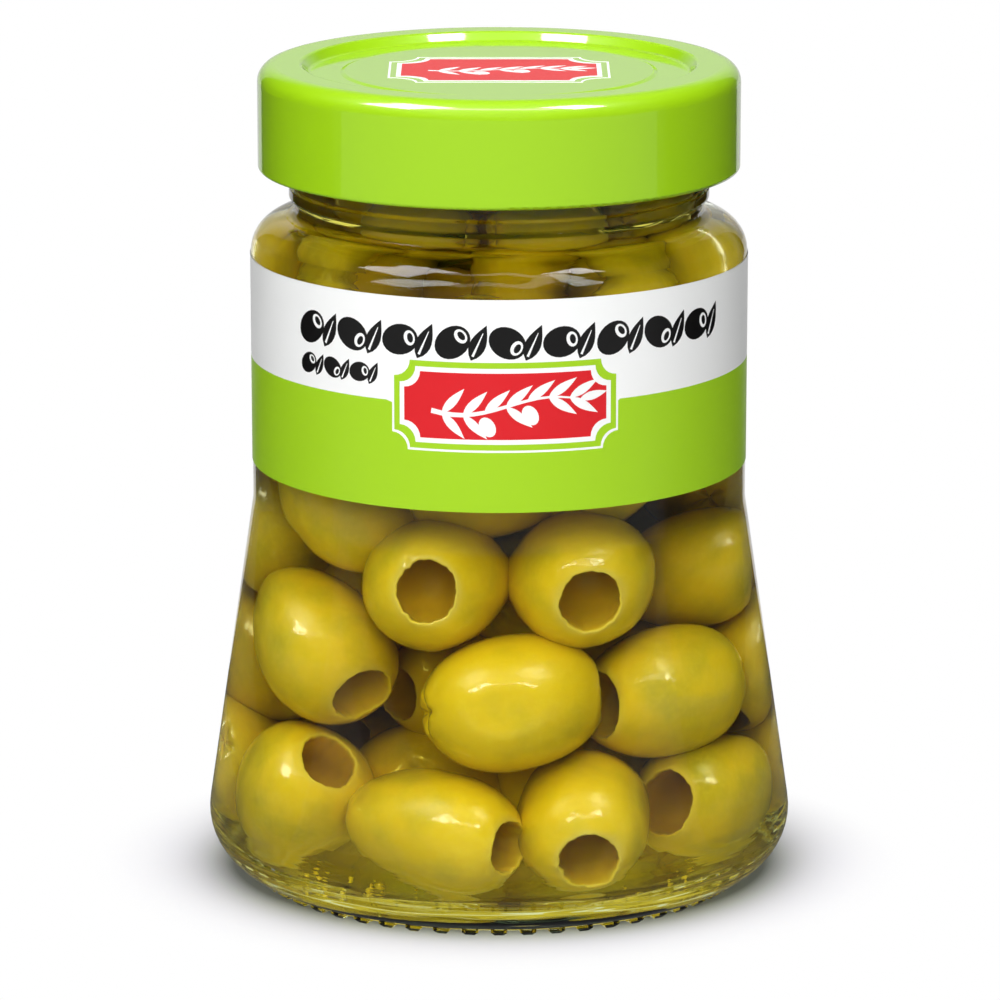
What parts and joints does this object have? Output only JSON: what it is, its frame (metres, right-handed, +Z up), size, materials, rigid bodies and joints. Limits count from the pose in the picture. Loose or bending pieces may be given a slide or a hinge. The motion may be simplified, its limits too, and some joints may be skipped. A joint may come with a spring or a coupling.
{
  "type": "jar of pitted green olives",
  "caption": "Flared glass jar of pitted green olives in brine, shut with a green twist-off cap and dressed with a white and green paper band.",
  "frame": {"origin": "centre of the foot, on the surface that the jar stands on", "axes": "+Z up along the jar's axis, the label's front faces -Y"},
  "size_m": [0.0814, 0.0814, 0.1137],
  "materials": {
    "clear_glass": "clear soda-lime glass, smooth",
    "lacquered_tinplate": "bright green lacquer on pressed tinplate, glossy",
    "coated_paper": "coated paper label, white and green, satin",
    "olives_in_brine": "yellow-green olives in clear yellowish brine, wet"
  },
  "bodies": {
    "root": {"glass_jar": "clear_glass", "lid": "lacquered_tinplate", "label": "coated_paper", "brine": "olives_in_brine"}
  },
  "joints": []
}
